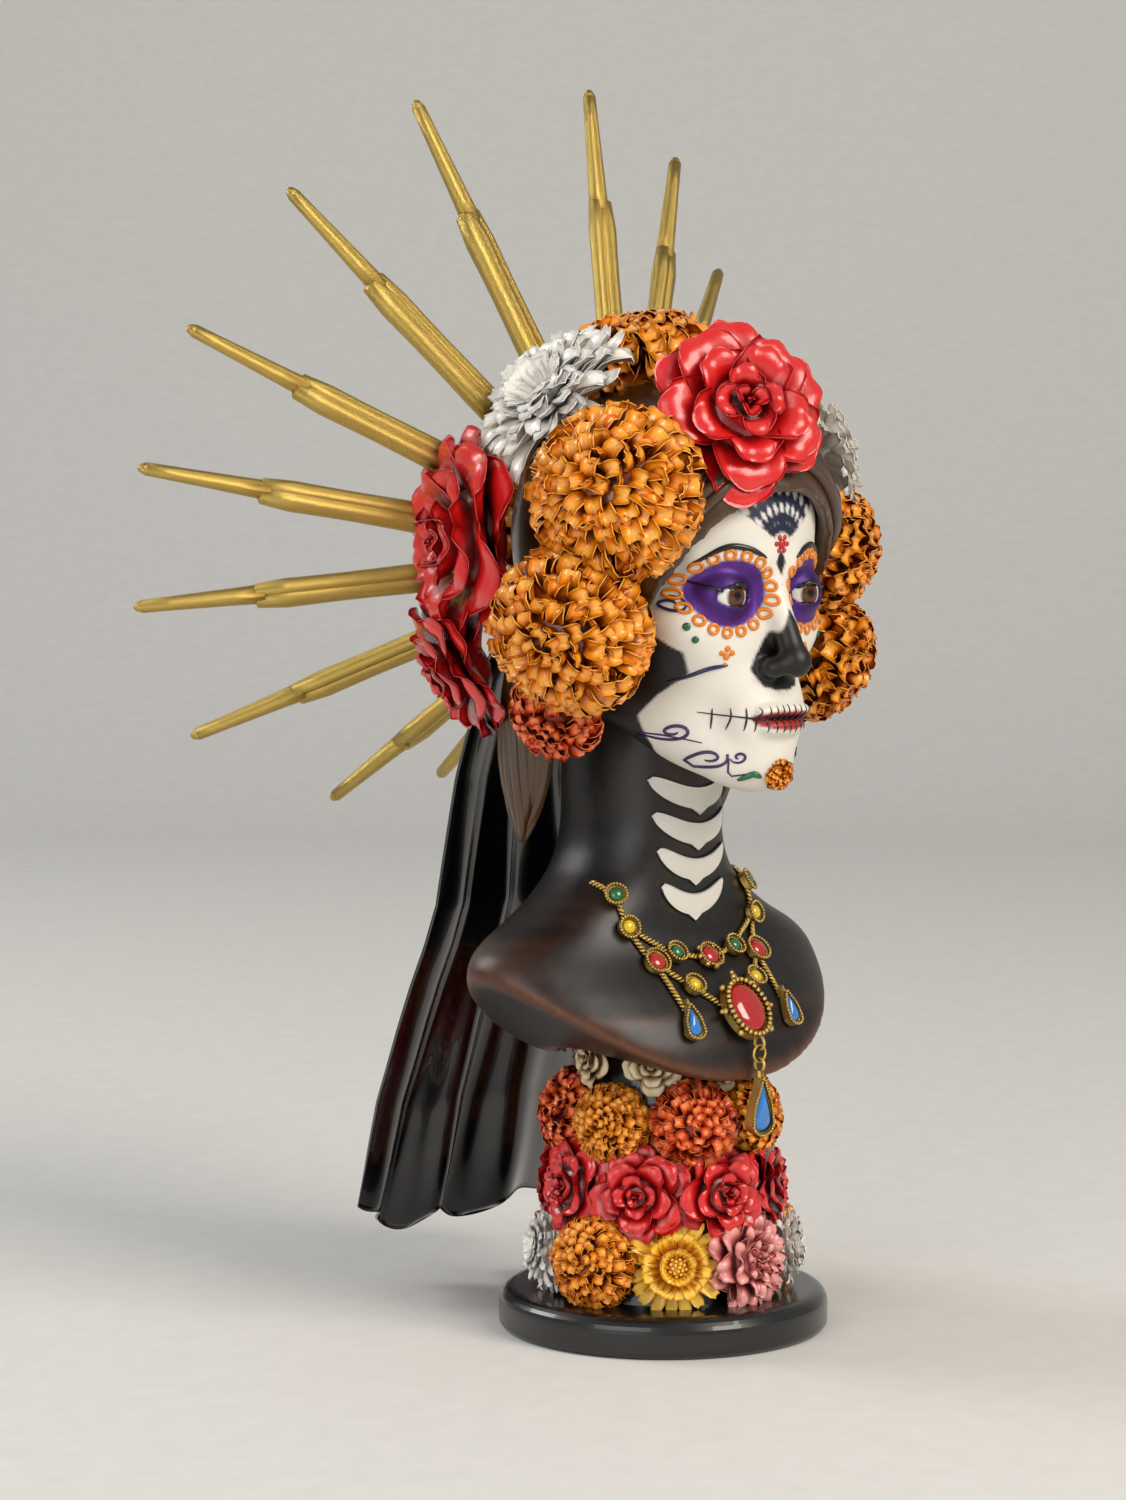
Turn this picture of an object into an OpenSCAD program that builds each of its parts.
// Catrina bust: a painted head with a flower crown and a sunburst of rays,
// on black shoulders, standing on a column of flowers over a round plinth.
// Millimetres. +Z is up, the face looks along -Y, and the origin is the
// centre of the plinth's underside.

/* [Plinth and column] */
// Diameter of the plinth
plinth_d = 79; // [76:0.1:110]
// Height of the plinth
plinth_h = 9.5; // [8:0.5:16]
// Height of the flower column between plinth and bust
column_h = 52.5; // [50:0.5:80]
// Diameter of the column core where it meets the plinth
core_bottom_d = 50; // [44:1:56]
// Diameter of the column core under the bust
core_top_d = 32; // [26:1:36]
// Diameter of the steel support rod
rod_d = 5; // [3:0.5:6]

/* [Column flowers] */
// Radius of the lowest row of flowers
lower_flower_r = 10.5; // [6:0.05:11.5]
// Radius of the peonies in that row
lower_peony_r = 9.7; // [6:0.1:10.7]
// Radius of the roses in the middle row
column_rose_r = 9.6; // [6:0.2:10]
// Radius of the marigolds in the upper row
column_marigold_r = 9; // [6:0.2:9.4]
// Radius of the cream rosettes under the shoulders
rosette_r = 6.4; // [4:0.2:6.6]

/* [Bust] */
// Width across the shoulders
shoulder_w = 104; // [90:0.1:126]
// Width of the neck
neck_w = 34; // [30:0.5:38]
// Rise of the lower edge, from the middle up to the shoulder tips
rim_rise = 25; // [18:0.5:28]
// Radius of the hollow under the bust, over the column
hollow_r = 25.5; // [24:0.1:26]
// Depth of that hollow
hollow_h = 11; // [9:0.5:13]

/* [Head and hair] */
// Width of the head
head_w = 61; // [56:0.5:64]
// Depth of the head, from forehead to nape
head_d = 77; // [72:0.5:80]
// Height of the head, from chin to top
head_h = 94; // [88:1:100]
// Thickness of the hair over the skull
hair_t = 3.5; // [2.5:0.1:4.5]

/* [Crown] */
// Reach of a ray, from the heart of the crown to its tip
ray_reach = 119; // [100:1:140]
// Length of the slim rod at the end of each ray
ray_rod_l = 29; // [20:1:40]
// Radius of the slim rod at its tip
ray_tip_r = 1.6; // [1.2:0.1:2]
// Half the width of a ray's forked root
ray_root_half_w = 5.6; // [4.5:0.1:5.8]
// How far the rays lean back from the plane of the crown
ray_sweep = 36; // [28:1:40]
// How far the crown leans forward over the head
crown_tilt = 21; // [15:1:25]
// How far the crown leans to the figure's right
crown_roll = 6; // [0:0.5:8]
// Radius of the tube of the ring that carries the rays
ring_tube_r = 3; // [2.6:0.1:3.4]

/* [Veil] */
// Thickness of the veil
veil_t = 3; // [2:0.2:4]
// Gap between the veil's hem and the table
veil_gap = 14; // [6:1:30]
// Depth of the veil's folds
veil_fold = 1.6; // [0:0.1:2.5]

/* [Necklace] */
// Radius of a chain bead
bead_r = 0.8; // [0.5:0.05:1]
// Width of the medallion
medallion_w = 12.5; // [9:0.1:13]
// Height of the medallion
medallion_h = 15; // [12:0.1:16]
// Width of the hanging teardrop
drop_w = 7.6; // [4:0.02:8]
// Length of the hanging teardrop
drop_l = 15; // [10:0.5:18]

/* [Hidden] */
$fn = 48;
gap = 0.3;           // clear space between neighbouring pieces
fit = 0.1;           // clearance of a piece in its seat
bust_z = plinth_h + column_h;
core_h = column_h + hollow_h;

// Angle of each ray from the top of the crown, one side
ray_angles = [17, 41, 65, 86, 108, 135, 169];
ray_names = [
    for (side = ["right", "left"])
        for (i = [1:len(ray_angles)])
            str("ray_", side, "_", i)
];
ray_turns = concat([for (a = ray_angles) -a], ray_angles);

// Crown flowers: name, colour, bearing and height angle seen from the middle
// of the head, stand-off from the hair, nod towards the ground, radius, thickness
crown_flowers = [
    ["crown_rose_front", "firebrick", -109, 46, 0, 24, 20.5, 17],
    ["crown_marigold_right_upper", "darkorange", -154, 14, 2, 0, 20, 21],
    ["crown_marigold_right_lower", "darkorange", -165, -24, 9, 0, 19, 21],
    ["crown_rose_right_rear", "firebrick", 152, -1, 6, 0, 19.5, 19],
    ["crown_daisy_right", "ivory", 172, 42, 6, 0, 18.5, 12],
    ["crown_daisy_left_front", "ivory", -29, 30, 0.5, 0, 15, 13],
    ["crown_marigold_left_upper", "darkorange", -13, -4, 3, 0, 15.5, 17],
    ["crown_marigold_left_lower", "darkorange", -6, -34, 13, 0, 16.5, 17],
    ["crown_rose_left_rear", "firebrick", 28, -1, 6, 0, 19.5, 19],
    ["crown_daisy_left", "ivory", 14, 42, 6, 0, 16.5, 12],
    ["crown_marigold_top", "darkorange", 98, 76, 1, 0, 16, 13],
    ["crown_rose_right_nape", "firebrick", 140, -32, 16, 0, 16, 17],
    ["crown_rose_left_nape", "firebrick", 40, -32, 16, 0, 16, 17],
    ["crown_marigold_back", "darkorange", 90, 13, 2, 0, 19, 16],
    ["crown_bud_right", "orangered", 178, -48, 16, 0, 9, 10]
];

// Lowest row, by kind: name, colour, places along the row, radius
lower_step = 40;
lower_start = 152;
lower_rows = [
    ["lower_white_flowers", "ivory", [0, 4], lower_flower_r],
    ["lower_marigolds", "orange", [1, 5, 7], lower_flower_r],
    ["lower_gerberas", "gold", [2, 6], lower_flower_r],
    ["lower_peonies", "palevioletred", [3, 8], lower_peony_r]
];

// ---------------------------------------------------------------- helpers

function unit(v) = v / norm(v);

function blend_rows(rows, at, column, i = 0) =
    i >= len(rows) - 2 || at <= rows[i + 1][0]
        ? let (
            span = rows[i + 1][0] - rows[i][0],
            part = min(1, max(0, (at - rows[i][0]) / span))
        )
        rows[i][column] + (rows[i + 1][column] - rows[i][column]) * part
        : blend_rows(rows, at, column, i + 1);

// Turns a piece's +Z to the direction n
module facing(n) {
    rotate([0, acos(n.z / norm(n)), atan2(n.y, n.x)]) children();
}

// A closed solid between two matching grids of points
module slab(front, back) {
    rows = len(front);
    cols = len(front[0]);
    points = concat([for (r = front) for (p = r) p], [for (r = back) for (p = r) p]);
    function at(r, c) = r * cols + c;
    n = rows * cols;
    faces = concat(
        [for (r = [0:rows - 2]) for (c = [0:cols - 2]) for (k = [0, 1])
            k == 0 ? [at(r, c), at(r, c + 1), at(r + 1, c + 1)]
                   : [at(r, c), at(r + 1, c + 1), at(r + 1, c)]],
        [for (r = [0:rows - 2]) for (c = [0:cols - 2]) for (k = [0, 1])
            k == 0 ? [n + at(r, c), n + at(r + 1, c + 1), n + at(r, c + 1)]
                   : [n + at(r, c), n + at(r + 1, c), n + at(r + 1, c + 1)]],
        [for (c = [0:cols - 2]) for (k = [0, 1])
            k == 0 ? [at(0, c), n + at(0, c), n + at(0, c + 1)]
                   : [at(0, c), n + at(0, c + 1), at(0, c + 1)]],
        [for (c = [0:cols - 2]) for (k = [0, 1])
            k == 0 ? [at(rows - 1, c), n + at(rows - 1, c + 1), n + at(rows - 1, c)]
                   : [at(rows - 1, c), at(rows - 1, c + 1), n + at(rows - 1, c + 1)]],
        [for (r = [0:rows - 2]) for (k = [0, 1])
            k == 0 ? [at(r, 0), n + at(r + 1, 0), n + at(r, 0)]
                   : [at(r, 0), at(r + 1, 0), n + at(r + 1, 0)]],
        [for (r = [0:rows - 2]) for (k = [0, 1])
            k == 0 ? [at(r, cols - 1), n + at(r, cols - 1), n + at(r + 1, cols - 1)]
                   : [at(r, cols - 1), n + at(r + 1, cols - 1), at(r + 1, cols - 1)]]
    );
    polyhedron(points, faces);
}

// A flower head with a flat back at the origin, opening towards +Z
module blossom(r, t) {
    rim = 0.3 * t;
    rotate_extrude()
        polygon(concat(
            [[0, 0], [0.72 * r, 0]],
            [for (a = [0:15:75]) [r * cos(a), rim + (t - rim) * sin(a)]],
            [[0, t]]
        ));
}

// ---------------------------------------------------- plinth and column

rod_floor = 3;       // left solid under the rod's blind hole in the plinth
rod_in_bust = 12;

module plinth() color("#151313") difference() {
    edge = 3.6;
    r = plinth_d / 2;
    rotate_extrude()
        polygon(concat(
            [[0, 0], [r - edge / 2, 0]],
            [for (a = [-60:15:0]) [r - edge / 2 + edge / 2 * cos(a), edge / 2 + edge / 2 * sin(a)]],
            [for (a = [0:15:90]) [r - edge + edge * cos(a), plinth_h - edge + edge * sin(a)]],
            [[0, plinth_h]]
        ));
    translate([0, 0, rod_floor]) cylinder(h = plinth_h, r = rod_d / 2 + fit);
}

module support_rod() color("silver")
    translate([0, 0, rod_floor + fit])
        cylinder(h = plinth_h + core_h + rod_in_bust - rod_floor - fit, r = rod_d / 2);

module column_core() color("#201c1c") difference() {
    translate([0, 0, plinth_h])
        cylinder(h = core_h, r1 = core_bottom_d / 2, r2 = core_top_d / 2);
    translate([0, 0, plinth_h - 1]) cylinder(h = core_h + 2, r = rod_d / 2 + fit);
}

// Places a flower on the core's sloping side, at a height above the plinth
module on_core(height, bearing) {
    slope = (core_bottom_d - core_top_d) / 2 / core_h;
    r = core_bottom_d / 2 - slope * height;
    translate([r * cos(bearing), r * sin(bearing), plinth_h + height])
        facing([cos(bearing), sin(bearing), slope])
            translate([0, 0, fit])
                children();
}

// Height of each row above the plinth, and how far its flowers stand out
lower_row_h = 9.5;
lower_flower_t = 14;
rose_row_h = 25.5;
column_rose_t = 10.5;
marigold_row_h = 42;
column_marigold_t = 10;
rosette_row_h = 56;
rosette_t = 6;
rose_count = 8;
rose_start = 168;
marigold_step = 360 / 7;
marigold_start = 193;

// The share of the lowest row that a flower keeps to, clear of its two
// neighbours and of the plinth
module lower_sector(bearing) {
    half = lower_step / 2;
    reach = plinth_d;
    translate([0, 0, plinth_h + gap]) rotate(bearing)
        translate([gap / 2 / sin(half), 0, 0])
            linear_extrude(reach)
                polygon([[0, 0], [reach, -reach * tan(half)], [reach, reach * tan(half)]]);
}

module lower_row(row) color(row[1])
    for (i = row[2])
        intersection() {
            on_core(lower_row_h, lower_start + i * lower_step)
                blossom(row[3], lower_flower_t);
            lower_sector(lower_start + i * lower_step);
        }

// How far apart two bearings are, from 0 to 180
function bearing_gap(a, b) = abs(((a - b) % 360 + 540) % 360 - 180);

// The room of the lowest row's flowers that stand near a bearing
module lower_room(bearing)
    for (row = lower_rows)
        for (i = row[2])
            if (bearing_gap(lower_start + i * lower_step, bearing) < 45)
                on_core(lower_row_h, lower_start + i * lower_step)
                    translate([0, 0, -gap]) blossom(row[3] + gap, lower_flower_t + 2 * gap);

module rose_room(bearing)
    for (i = [0:rose_count - 1])
        if (bearing_gap(rose_start + i * 360 / rose_count, bearing) < 45)
            on_core(rose_row_h, rose_start + i * 360 / rose_count)
                translate([0, 0, -gap]) blossom(column_rose_r + gap, column_rose_t + 2 * gap);

module column_roses() color("firebrick")
    for (i = [0:rose_count - 1])
        difference() {
            on_core(rose_row_h, rose_start + i * 360 / rose_count)
                blossom(column_rose_r, column_rose_t);
            lower_room(rose_start + i * 360 / rose_count);
        }

module marigold_bloom(bearing) difference() {
    on_core(marigold_row_h, bearing) blossom(column_marigold_r, column_marigold_t);
    rose_room(bearing);
}

module column_marigolds() color("darkorange")
    for (i = [0, 2, 3, 5])
        marigold_bloom(marigold_start + i * marigold_step);

module column_dahlias() color("orangered")
    for (i = [1, 4, 6])
        marigold_bloom(marigold_start + i * marigold_step);

module shadow_rosettes() color("wheat")
    for (i = [0:6])
        on_core(rosette_row_h, marigold_start + (i + 0.5) * marigold_step)
            blossom(rosette_r, rosette_t);

// ------------------------------------------------------------------ bust

// Sections of the shoulders and neck: height over the bust's lowest point,
// share of the shoulder width beyond the neck, front depth, back depth
bust_rows = [
    [-2, 0.94, -30, 24],
    [4, 0.96, -30, 25],
    [10, 0.98, -28.5, 26],
    [16, 1.00, -25.5, 27],
    [22, 1.00, -20, 27.5],
    [27, 0.98, -15, 28],
    [30, 0.92, -12.5, 28.5],
    [33, 0.80, -11, 28.5],
    [36, 0.62, -10.5, 28.5],
    [40, 0.43, -10.5, 28],
    [44, 0.27, -10.5, 28],
    [48, 0.14, -11, 28],
    [53, 0.05, -11.5, 28],
    [59, 0.00, -12, 28],
    [68, 0.00, -12, 28],
    [88, 0.00, -12, 28]
];
bust_round = 2.3;    // 2 is an ellipse, more is boxier
bust_y = 8;          // middle of the neck and shoulders, behind the column's axis

function bust_half_w(h) = neck_w / 2 + blend_rows(bust_rows, h, 1) * (shoulder_w - neck_w) / 2;

function bust_point(h, a) =
    let (
        w = bust_half_w(h),
        d = abs(blend_rows(bust_rows, h, sin(a) < 0 ? 2 : 3) - bust_y),
        k = pow(pow(abs(cos(a)), bust_round) + pow(abs(sin(a)), bust_round), -1 / bust_round)
    )
    [w * k * cos(a), bust_y + d * k * sin(a), bust_z + h];

// Front surface of the chest, as depth at a side distance and height
function chest_y(x, h) =
    let (part = min(0.999, abs(x) / bust_half_w(h)))
    bust_y + (blend_rows(bust_rows, h, 2) - bust_y) * pow(1 - pow(part, bust_round), 1 / bust_round);

function chest_normal(x, h) =
    let (
        e = 0.5,
        across = chest_y(x + e, h) - chest_y(x - e, h),
        along = chest_y(x, h + e) - chest_y(x, h - e)
    )
    unit([across / (2 * e), -1, along / (2 * e)]);

// Everything below the curved lower edge of the shoulders
module under_shoulders() {
    far = 80;
    translate([0, far, bust_z]) rotate([90, 0, 0]) linear_extrude(2 * far)
        polygon(concat(
            [[-far, -far]],
            [[far, -far]],
            [for (part = [1.2:-0.1:-1.2]) [part * shoulder_w / 2, rim_rise * part * part]]
        ));
}

module bust() color("#1c1817") difference() {
    bust_loft(48);
    under_shoulders();
    translate([0, 0, bust_z - 5]) cylinder(h = hollow_h + 5 + fit, r = hollow_r);
    translate([0, 0, bust_z]) cylinder(h = hollow_h + rod_in_bust + fit, r = rod_d / 2 + fit);
}

module bust_loft(sides) {
    rows = len(bust_rows);
    points = [for (r = bust_rows) for (i = [0:sides - 1]) bust_point(r[0], 360 * i / sides)];
    faces = concat(
        [[for (i = [0:sides - 1]) i]],
        [for (j = [0:rows - 2]) for (i = [0:sides - 1]) for (k = [0, 1])
            let (
                a = j * sides + i,
                b = j * sides + (i + 1) % sides
            )
            k == 0 ? [a, a + sides, b + sides] : [a, b + sides, b]],
        [[for (i = [sides - 1:-1:0]) (rows - 1) * sides + i]]
    );
    polyhedron(points, faces);
}

// --------------------------------------------------------- head and hair

head_c = [0, -2, bust_z + 127];
skull_half = [head_w / 2, head_d / 2, head_w * 0.56];
hair_half = skull_half + [hair_t, hair_t, hair_t];
chin_z = head_c.z + skull_half.z - head_h;

module egg(half) {
    scale(half) sphere(1, $fn = 28);
}

jaw_r = 11;
jaw_back_half = [head_w * 0.4, 20, 14];

module skull_and_jaw(extra = 0) {
    more = [extra, extra, extra];
    hull() {
        translate(head_c) egg(skull_half + more);
        translate([0, -head_d * 0.36, chin_z + jaw_r]) sphere(jaw_r + extra, $fn = 24);
        translate([0, -head_d * 0.12, chin_z + 22]) egg(jaw_back_half + more);
    }
}

module head() color("ivory") difference() {
    skull_and_jaw();
    neck_room(2 * fit);
}

// The neck's column, which the head and the hair fit around
module neck_room(extra) {
    top = bust_rows[len(bust_rows) - 1];
    w = neck_w / 2 + extra;
    d = (top[3] - top[2]) / 2 + extra;
    translate([0, (top[2] + top[3]) / 2, bust_z + 40]) scale([w / d, 1, 1])
        cylinder(h = top[0] - 40 + extra, r = d + 1.5);
}

// The hair's shell covers the top, the sides and the back of the skull
module hair() color("#3a2412") difference() {
    opening_r = head_w * 0.42;
    translate(head_c) egg(hair_half);
    skull_and_jaw(2 * fit);
    ring_room();
    translate(head_c + [0, -head_d, -15]) rotate([-90, 0, 0]) cylinder(h = head_d * 0.85, r = opening_r);
    translate(head_c + [-opening_r, -head_d, -75]) cube([2 * opening_r, head_d * 0.85, 60]);
    translate(head_c + [0, 0, -60 - hair_half.z * 0.7]) cube([3 * head_w, 3 * head_d, 120], center = true);
}

module hair_lock(side) color("#3a2412") difference() {
    hull() {
        translate([side * 32, 18, bust_z + 92]) sphere(5, $fn = 20);
        translate([side * 31, 14, bust_z + 74]) sphere(4.5, $fn = 20);
        translate([side * 28, 12, bust_z + 58]) sphere(3, $fn = 20);
    }
    hair_clearance();
    crown_flower_clearance();
}

module hair_clearance() translate(head_c) egg(hair_half + [gap, gap, gap]);

// ----------------------------------------------------------------- crown

crown_c = [0, 12, bust_z + 122];
ring_reach = 37;                 // where a ray's line crosses the ring
ring_r = ring_reach * cos(ray_sweep);
peg_r = 1.5;
fork_start = 46;                 // forks begin here, clear of their neighbours
joint_reach = ray_reach - ray_rod_l;

module crown_frame() translate(crown_c) rotate([crown_tilt, -crown_roll, 0]) children();

// Lays a piece that points along +Z on the line of one ray
module on_ray(turn) crown_frame() rotate([0, turn, 0]) rotate([-ray_sweep, 0, 0]) children();

module halo_ring() color("goldenrod") difference() {
    ring_solid(ring_tube_r);
    for (turn = ray_turns)
        on_ray(turn)
            translate([0, 0, ring_reach - 1]) cylinder(h = ring_tube_r + 4, r = peg_r + fit);
}

module ring_solid(tube_r) crown_frame()
    translate([0, ring_reach * sin(ray_sweep), 0]) rotate([90, 0, 0])
        rotate_extrude($fn = 96) translate([ring_r, 0]) circle(tube_r);

// The room that the ring takes among the flowers and in the hair
module ring_room() crown_frame()
    translate([0, ring_reach * sin(ray_sweep), 0]) rotate([90, 0, 0])
        rotate_extrude($fn = 96)
            translate([ring_r, 0]) square(2 * (ring_tube_r + gap), center = true);

// A ray is a slim rod in a collar, over two quills that part towards the root
module ray(turn) color("goldenrod") on_ray(turn) {
    quill_r = ray_root_half_w * 0.48;
    part_angle = atan((ray_root_half_w - quill_r - 0.9) / (joint_reach - fork_start));
    translate([0, 0, ring_reach]) cylinder(h = fork_start + 8 - ring_reach, r = peg_r);
    for (side = [-1, 1])
        translate([side * 0.9, 0, joint_reach]) rotate([180, side * part_angle, 0])
            cylinder(h = joint_reach - fork_start, r1 = 2.3, r2 = quill_r);
    translate([0, -1.6, fork_start + 2]) cylinder(h = joint_reach - fork_start - 4, r1 = 1.3, r2 = 1);
    translate([0, 0, joint_reach - 2]) cylinder(h = 3, r = 3.1);
    translate([0, 0, joint_reach]) cylinder(h = ray_rod_l - ray_tip_r, r1 = 2.2, r2 = ray_tip_r);
    translate([0, 0, ray_reach - ray_tip_r]) sphere(ray_tip_r);
}

// The room that a ray takes among the flowers
module ray_clearance(turn) on_ray(turn)
    translate([0, 0, ring_reach])
        cylinder(h = joint_reach - ring_reach, r = ray_root_half_w + 0.8);

function about_x(a, v) = [v.x, v.y * cos(a) - v.z * sin(a), v.y * sin(a) + v.z * cos(a)];
function about_y(a, v) = [v.x * cos(a) + v.z * sin(a), v.y, v.z * cos(a) - v.x * sin(a)];

// A point on the line of a ray, at a reach from the heart of the crown
function ray_point(turn, reach) =
    let (in_crown = about_y(turn, about_x(-ray_sweep, [0, 0, 1])))
    crown_c + reach * about_y(-crown_roll, about_x(crown_tilt, in_crown));

function ray_is_near(turn, at, room) =
    min([for (reach = [ring_reach:6:joint_reach]) norm(ray_point(turn, reach) - at)]) < room;

function hair_point(bearing, height) =
    head_c + [
        hair_half.x * cos(height) * cos(bearing),
        hair_half.y * cos(height) * sin(bearing),
        hair_half.z * sin(height)
    ];

function hair_normal(bearing, height) = unit([
    cos(height) * cos(bearing) / hair_half.x,
    cos(height) * sin(bearing) / hair_half.y,
    sin(height) / hair_half.z
]);

function flower_back(f) = hair_point(f[2], f[3]) + (f[4] + fit) * hair_normal(f[2], f[3]);

// The way a flower looks out: square to the hair, and then nodding down
function flower_look(f) =
    let (
        n = hair_normal(f[2], f[3]),
        rise = asin(n.z) - f[5],
        bearing = atan2(n.y, n.x)
    )
    [cos(rise) * cos(bearing), cos(rise) * sin(bearing), sin(rise)];

module place_flower(f) translate(flower_back(f)) facing(flower_look(f)) children();

// Each flower gives way to the rays, the ring and the flowers listed before it
module crown_flower(i) {
    f = crown_flowers[i];
    color(f[1]) difference() {
        place_flower(f) blossom(f[6], f[7]);
        if (f[5] > 0)
            hair_clearance();
        for (j = [0:1:i - 1])
            let (g = crown_flowers[j])
                if (norm(flower_back(f) - flower_back(g)) < f[6] + g[6] + 6)
                    flower_room(g);
        if (norm(flower_back(f) - crown_c) < ring_reach + f[6])
            ring_room();
        for (turn = ray_turns)
            if (ray_is_near(turn, flower_back(f), f[6] + 2 * ray_root_half_w))
                ray_clearance(turn);
    }
}

module flower_room(f) place_flower(f) translate([0, 0, -gap]) blossom(f[6] + gap, f[7] + 2 * gap);

module crown_flower_clearance()
    for (f = crown_flowers)
        if (f[3] < 0)
            flower_room(f);

// ------------------------------------------------------------------ veil

veil_top = bust_z + 99;
// Share of the way down, half width, depth behind the axis
veil_rows = [
    [0, 18, 45],
    [0.2, 25, 51],
    [0.45, 31, 53],
    [0.6, 34, 61],
    [0.8, 37, 69],
    [1, 38, 72]
];
veil_steps = 14;
veil_columns = 28;

function veil_point(down, across, face) =
    let (
        half_w = blend_rows(veil_rows, down, 1),
        edge_forward = 4 + 2 * down,
        wave = veil_fold * (0.3 + 0.7 * down) * cos(across * 720)
    )
    [
        half_w * across,
        blend_rows(veil_rows, down, 2) - edge_forward * across * across + wave + face * veil_t / 2,
        veil_top - (veil_top - veil_gap) * down
    ];

module veil() color("#0d0b0e") difference() {
    grid = [for (face = [-1, 1])
        [for (j = [0:veil_steps])
            [for (i = [0:veil_columns])
                veil_point(j / veil_steps, 2 * i / veil_columns - 1, face)]]];
    slab(grid[0], grid[1]);
    ring_solid(ring_tube_r + gap);
    crown_flower_clearance();
    for (turn = ray_turns)
        if (abs(turn) > 150)
            ray_clearance(turn);
}

// -------------------------------------------------------------- necklace

// Side distance of each jewel, and its height over the bust's lowest point
setting_t = 1.4;
seat_lift = 0.3;     // a flat bezel needs this to clear the curved chest
small_r = 2.4;
large_r = 3;
green_jewels = [[21, 43], [9.5, 29]];
yellow_jewels = [[20.5, 36], [10, 22]];
red_jewels = [[16.5, 27.5]];
flower_jewel = [0, 27.5];
drop_jewels = [[16, 13.5]];
medallion_at = [0, 15.8];
chain_stops = [[24, 47], [21, 43], [20.5, 36], [9.5, 29], [0, 27.5]];
side_chain_stops = [[20.5, 36], [16.5, 27.5], [16.2, 18]];
inner_chain_stops = [[16.5, 27.5], [10, 22], [7, 19]];

jewels = concat(
    [for (j = concat(green_jewels, yellow_jewels)) [j, small_r]],
    [for (j = concat(red_jewels, [flower_jewel])) [j, large_r]],
    [for (j = drop_jewels) [j + [0, 2], 3.2]],
    [[medallion_at, medallion_h / 2]]
);

module on_chest(x, h, lift = 0) {
    n = chest_normal(x, h);
    translate([x, chest_y(x, h), bust_z + h] + (lift + fit) * n) facing(n) children();
}

function between(a, b, part) = a + (b - a) * part;

function clear_of_jewels(at) =
    min([for (j = jewels) norm(at - j[0]) - j[1]]) > bead_r + gap;

module bead_run(stops, side) {
    for (k = [0:len(stops) - 2])
        let (count = floor(norm(stops[k + 1] - stops[k]) / (2.3 * bead_r)))
            for (i = [0:1:count - 1])
                let (at = between(stops[k], stops[k + 1], (i + 0.5) / count))
                    if (clear_of_jewels(at) && at.x > bead_r * 1.2)
                        on_chest(side * at.x, at.y, bead_r) sphere(bead_r, $fn = 24);
}

module necklace_chain() color("gold")
    for (side = [-1, 1])
        for (stops = [chain_stops, side_chain_stops, inner_chain_stops])
            bead_run(stops, side);

module round_setting(r) difference() {
    cylinder(h = setting_t, r = r);
    translate([0, 0, setting_t / 2]) cylinder(h = setting_t, r = r - 0.6);
}

module round_stone(r) translate([0, 0, setting_t / 2 + fit]) {
    cylinder(h = setting_t / 2, r = r - 0.6 - fit);
}

// Outline of a teardrop with its point up and its round end at the bottom
function teardrop(w, l) = concat(
    [for (a = [200:10:340]) [w / 2 * cos(a), w / 2 * sin(a)]],
    [[w * 0.31, l * 0.25], [w * 0.12, l * 0.5], [0, l - w / 2], [-w * 0.12, l * 0.5], [-w * 0.31, l * 0.25]]
);

module drop_setting(w, l, t) difference() {
    linear_extrude(t) polygon(teardrop(w, l));
    translate([0, 0, t / 2]) linear_extrude(t) polygon(teardrop(w - 1.4, l - 2.6));
}

module drop_stone(w, l, t)
    translate([0, 0, t / 2 + fit]) linear_extrude(t / 2)
        polygon(teardrop(w - 1.4 - 2 * fit, l - 2.6 - 4 * fit));

side_drop_w = 5.4;
side_drop_l = 10;

module necklace_settings() color("gold") {
    for (side = [-1, 1]) {
        for (j = concat(green_jewels, yellow_jewels))
            on_chest(side * j.x, j.y, seat_lift) round_setting(small_r);
        for (j = red_jewels)
            on_chest(side * j.x, j.y, seat_lift) round_setting(large_r);
        for (j = drop_jewels)
            on_chest(side * j.x, j.y, seat_lift) upright()
                drop_setting(side_drop_w, side_drop_l, setting_t);
    }
    on_chest(flower_jewel.x, flower_jewel.y, seat_lift) round_setting(large_r);
}

// Turns an outline on the chest so that its +Y side is uppermost
module upright() rotate([0, 0, 90]) children();

module stones(jewels, r, shade) color(shade)
    for (side = [-1, 1])
        for (j = jewels)
            on_chest(side * j.x, j.y, seat_lift) round_stone(r);

module green_stones() stones(green_jewels, small_r, "green");
module yellow_stones() stones(yellow_jewels, small_r, "yellow");

module red_stones() {
    stones(red_jewels, large_r, "crimson");
    color("crimson") on_chest(flower_jewel.x, flower_jewel.y, seat_lift) round_stone(large_r);
}

module drop_stones() color("royalblue")
    for (side = [-1, 1])
        for (j = drop_jewels)
            on_chest(side * j.x, j.y, seat_lift) upright()
                drop_stone(side_drop_w, side_drop_l, setting_t);

function oval(w, l) = [for (a = [0:10:350]) [w / 2 * cos(a), l / 2 * sin(a)]];

// The medallion leans with the chest, and its lower eye stands clear of it
eye_r = 1.5;
eye_wire_r = 0.4;
medallion_lift = 1;
medallion_t = 2;
medallion_look = chest_normal(medallion_at.x, medallion_at.y);
medallion_foot = [0, chest_y(0, medallion_at.y), bust_z + medallion_at.y]
    + (medallion_lift + medallion_t / 2) * medallion_look
    + (medallion_h / 2) * [0, -medallion_look.z, medallion_look.y];
eye_at = medallion_foot + [0, -0.9, -0.9];

module on_medallion(lift) on_chest(medallion_at.x, medallion_at.y, lift) upright() children();

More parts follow.
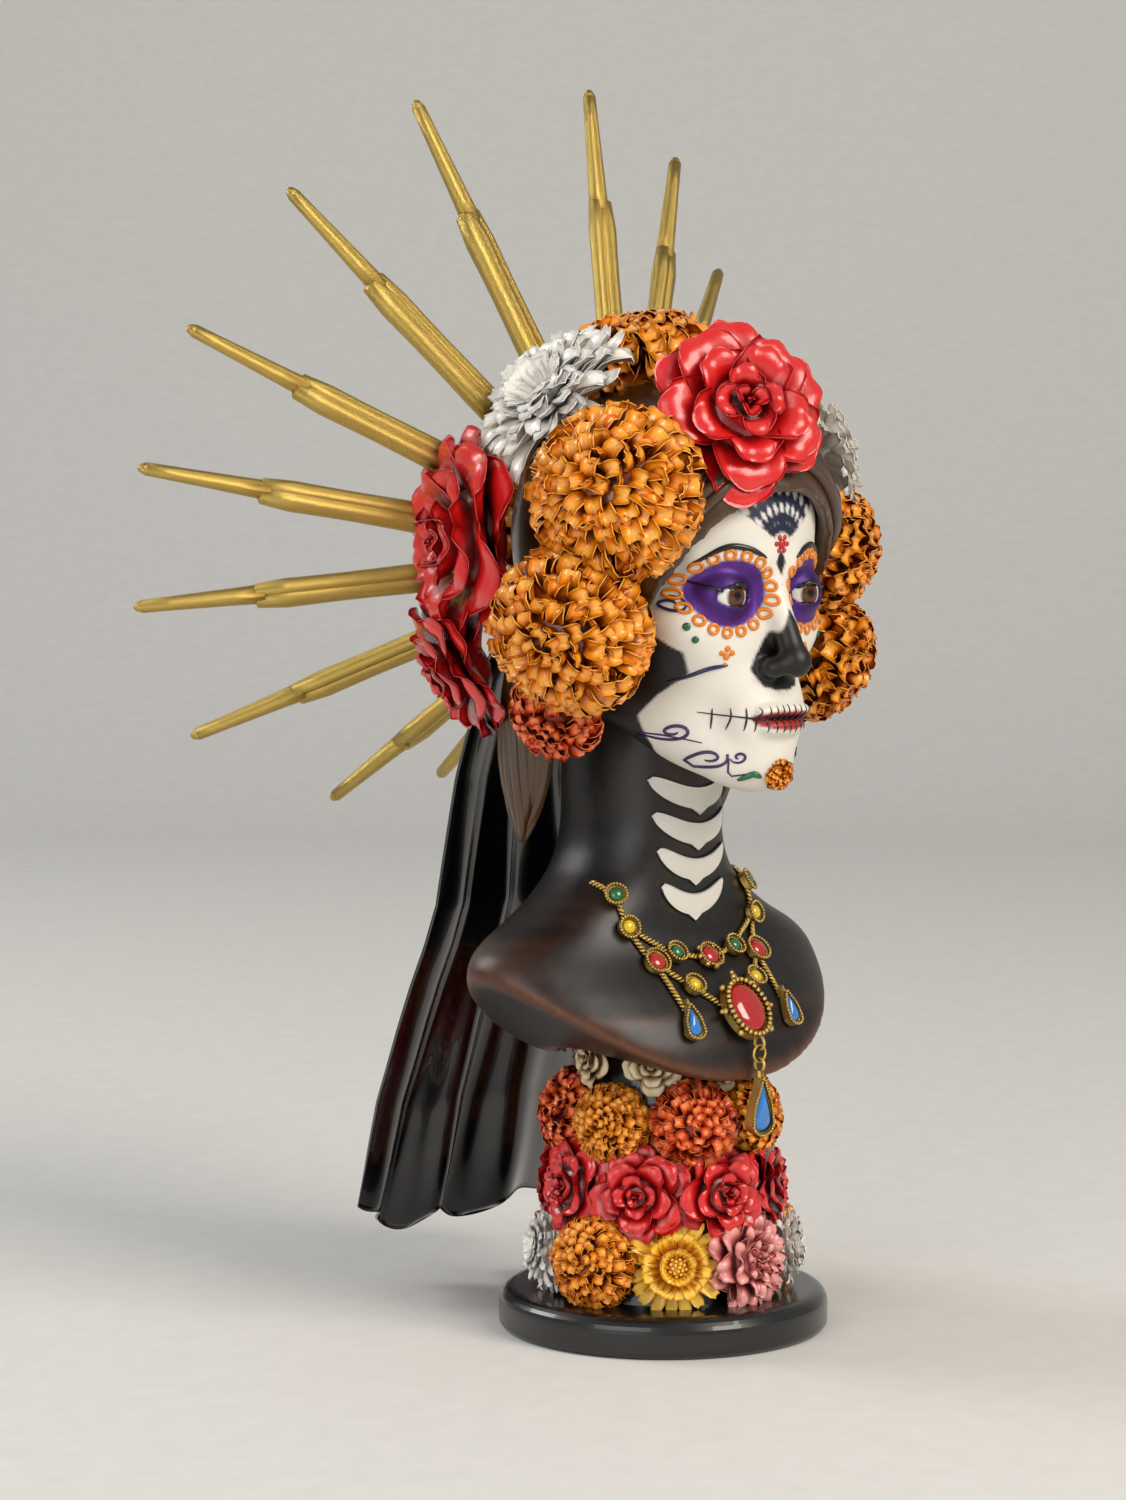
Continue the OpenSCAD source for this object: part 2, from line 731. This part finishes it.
module medallion_setting() color("gold") difference() {
    union() {
        on_medallion(medallion_lift) linear_extrude(medallion_t) polygon(oval(medallion_w, medallion_h));
        on_medallion(0) cylinder(h = medallion_t, r = 3);
        translate(eye_at) rotate([0, 90, 0])
            rotate_extrude() translate([eye_r, 0]) circle(eye_wire_r, $fn = 24);
    }
    on_medallion(medallion_lift + medallion_t / 2)
        linear_extrude(medallion_t) polygon(oval(medallion_w - 2.4, medallion_h - 2.4));
}

module medallion_stone() color("crimson")
    on_medallion(medallion_lift + medallion_t / 2 + fit)
        linear_extrude(1.4) polygon(oval(medallion_w - 2.4 - 2 * fit, medallion_h - 2.4 - 2 * fit));

// A loose ring through the eye, and the pendant's bail through the ring
link_play = 0.1;
link_r = 1.9;
link_wire_r = 0.35;
link_z = eye_at.z - eye_r + eye_wire_r + link_wire_r + link_play - link_r;
bail_r = 1.5;
bail_wire_r = 0.4;
bail_z = link_z - link_r + link_wire_r + bail_wire_r + link_play - bail_r;

module jump_ring() color("gold")
    translate([eye_at.x, eye_at.y, link_z]) rotate([90, 0, 0])
        rotate_extrude() translate([link_r, 0]) circle(link_wire_r, $fn = 24);

pendant_t = 2.6;

module pendant_place() translate([eye_at.x, eye_at.y, bail_z - bail_r - drop_l + drop_w / 2])
    rotate([90, 0, 0]) translate([0, 0, -pendant_t / 2]) children();

module pendant_setting() color("gold") {
    pendant_place() drop_setting(drop_w, drop_l, pendant_t);
    translate([eye_at.x, eye_at.y, bail_z]) rotate([0, 90, 0])
        rotate_extrude() translate([bail_r, 0]) circle(bail_wire_r, $fn = 24);
    translate([eye_at.x, eye_at.y, bail_z - bail_r - 1.6]) cylinder(h = 1.7, r = 0.7, $fn = 24);
}

module pendant_stone() color("royalblue") pendant_place() drop_stone(drop_w, drop_l, pendant_t);

// ----------------------------------------------------------------- nodes

plinth();
support_rod();
column_core();
column_roses();
column_marigolds();
column_dahlias();
shadow_rosettes();
bust();
head();
hair();
hair_lock(-1);  // hair_lock_right
hair_lock(1);  // hair_lock_left
halo_ring();
veil();
necklace_chain();
necklace_settings();
green_stones();
yellow_stones();
red_stones();
drop_stones();
medallion_setting();
medallion_stone();
jump_ring();
pendant_setting();
pendant_stone();
for (row = lower_rows)
    lower_row(row);
for (i = [0:len(ray_names) - 1])
    ray(ray_turns[i]);
for (i = [0:len(crown_flowers) - 1])
    crown_flower(i);
